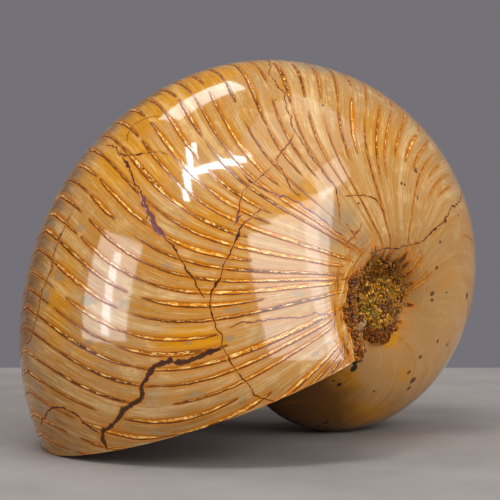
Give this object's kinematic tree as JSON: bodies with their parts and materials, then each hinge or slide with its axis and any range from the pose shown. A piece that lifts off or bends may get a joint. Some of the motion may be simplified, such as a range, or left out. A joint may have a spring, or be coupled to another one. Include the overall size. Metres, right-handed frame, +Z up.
{
  "type": "fossil nautilus",
  "caption": "Whole polished fossil nautilus: a coiled, ribbed shell of solid stone that stands on the lip of its cut aperture and on its inner whorl.",
  "frame": {"origin": "centre of the bounding box's bottom face, on the surface that the shell stands on", "axes": "+Z up; the coil's axis runs along Y; the cut aperture is under the -X end"},
  "size_m": [0.2003, 0.1584, 0.154],
  "materials": {
    "polished_stone": "mirror-polished stone"
  },
  "bodies": {
    "root": {"nautilus_fossil": "polished_stone"}
  },
  "joints": []
}
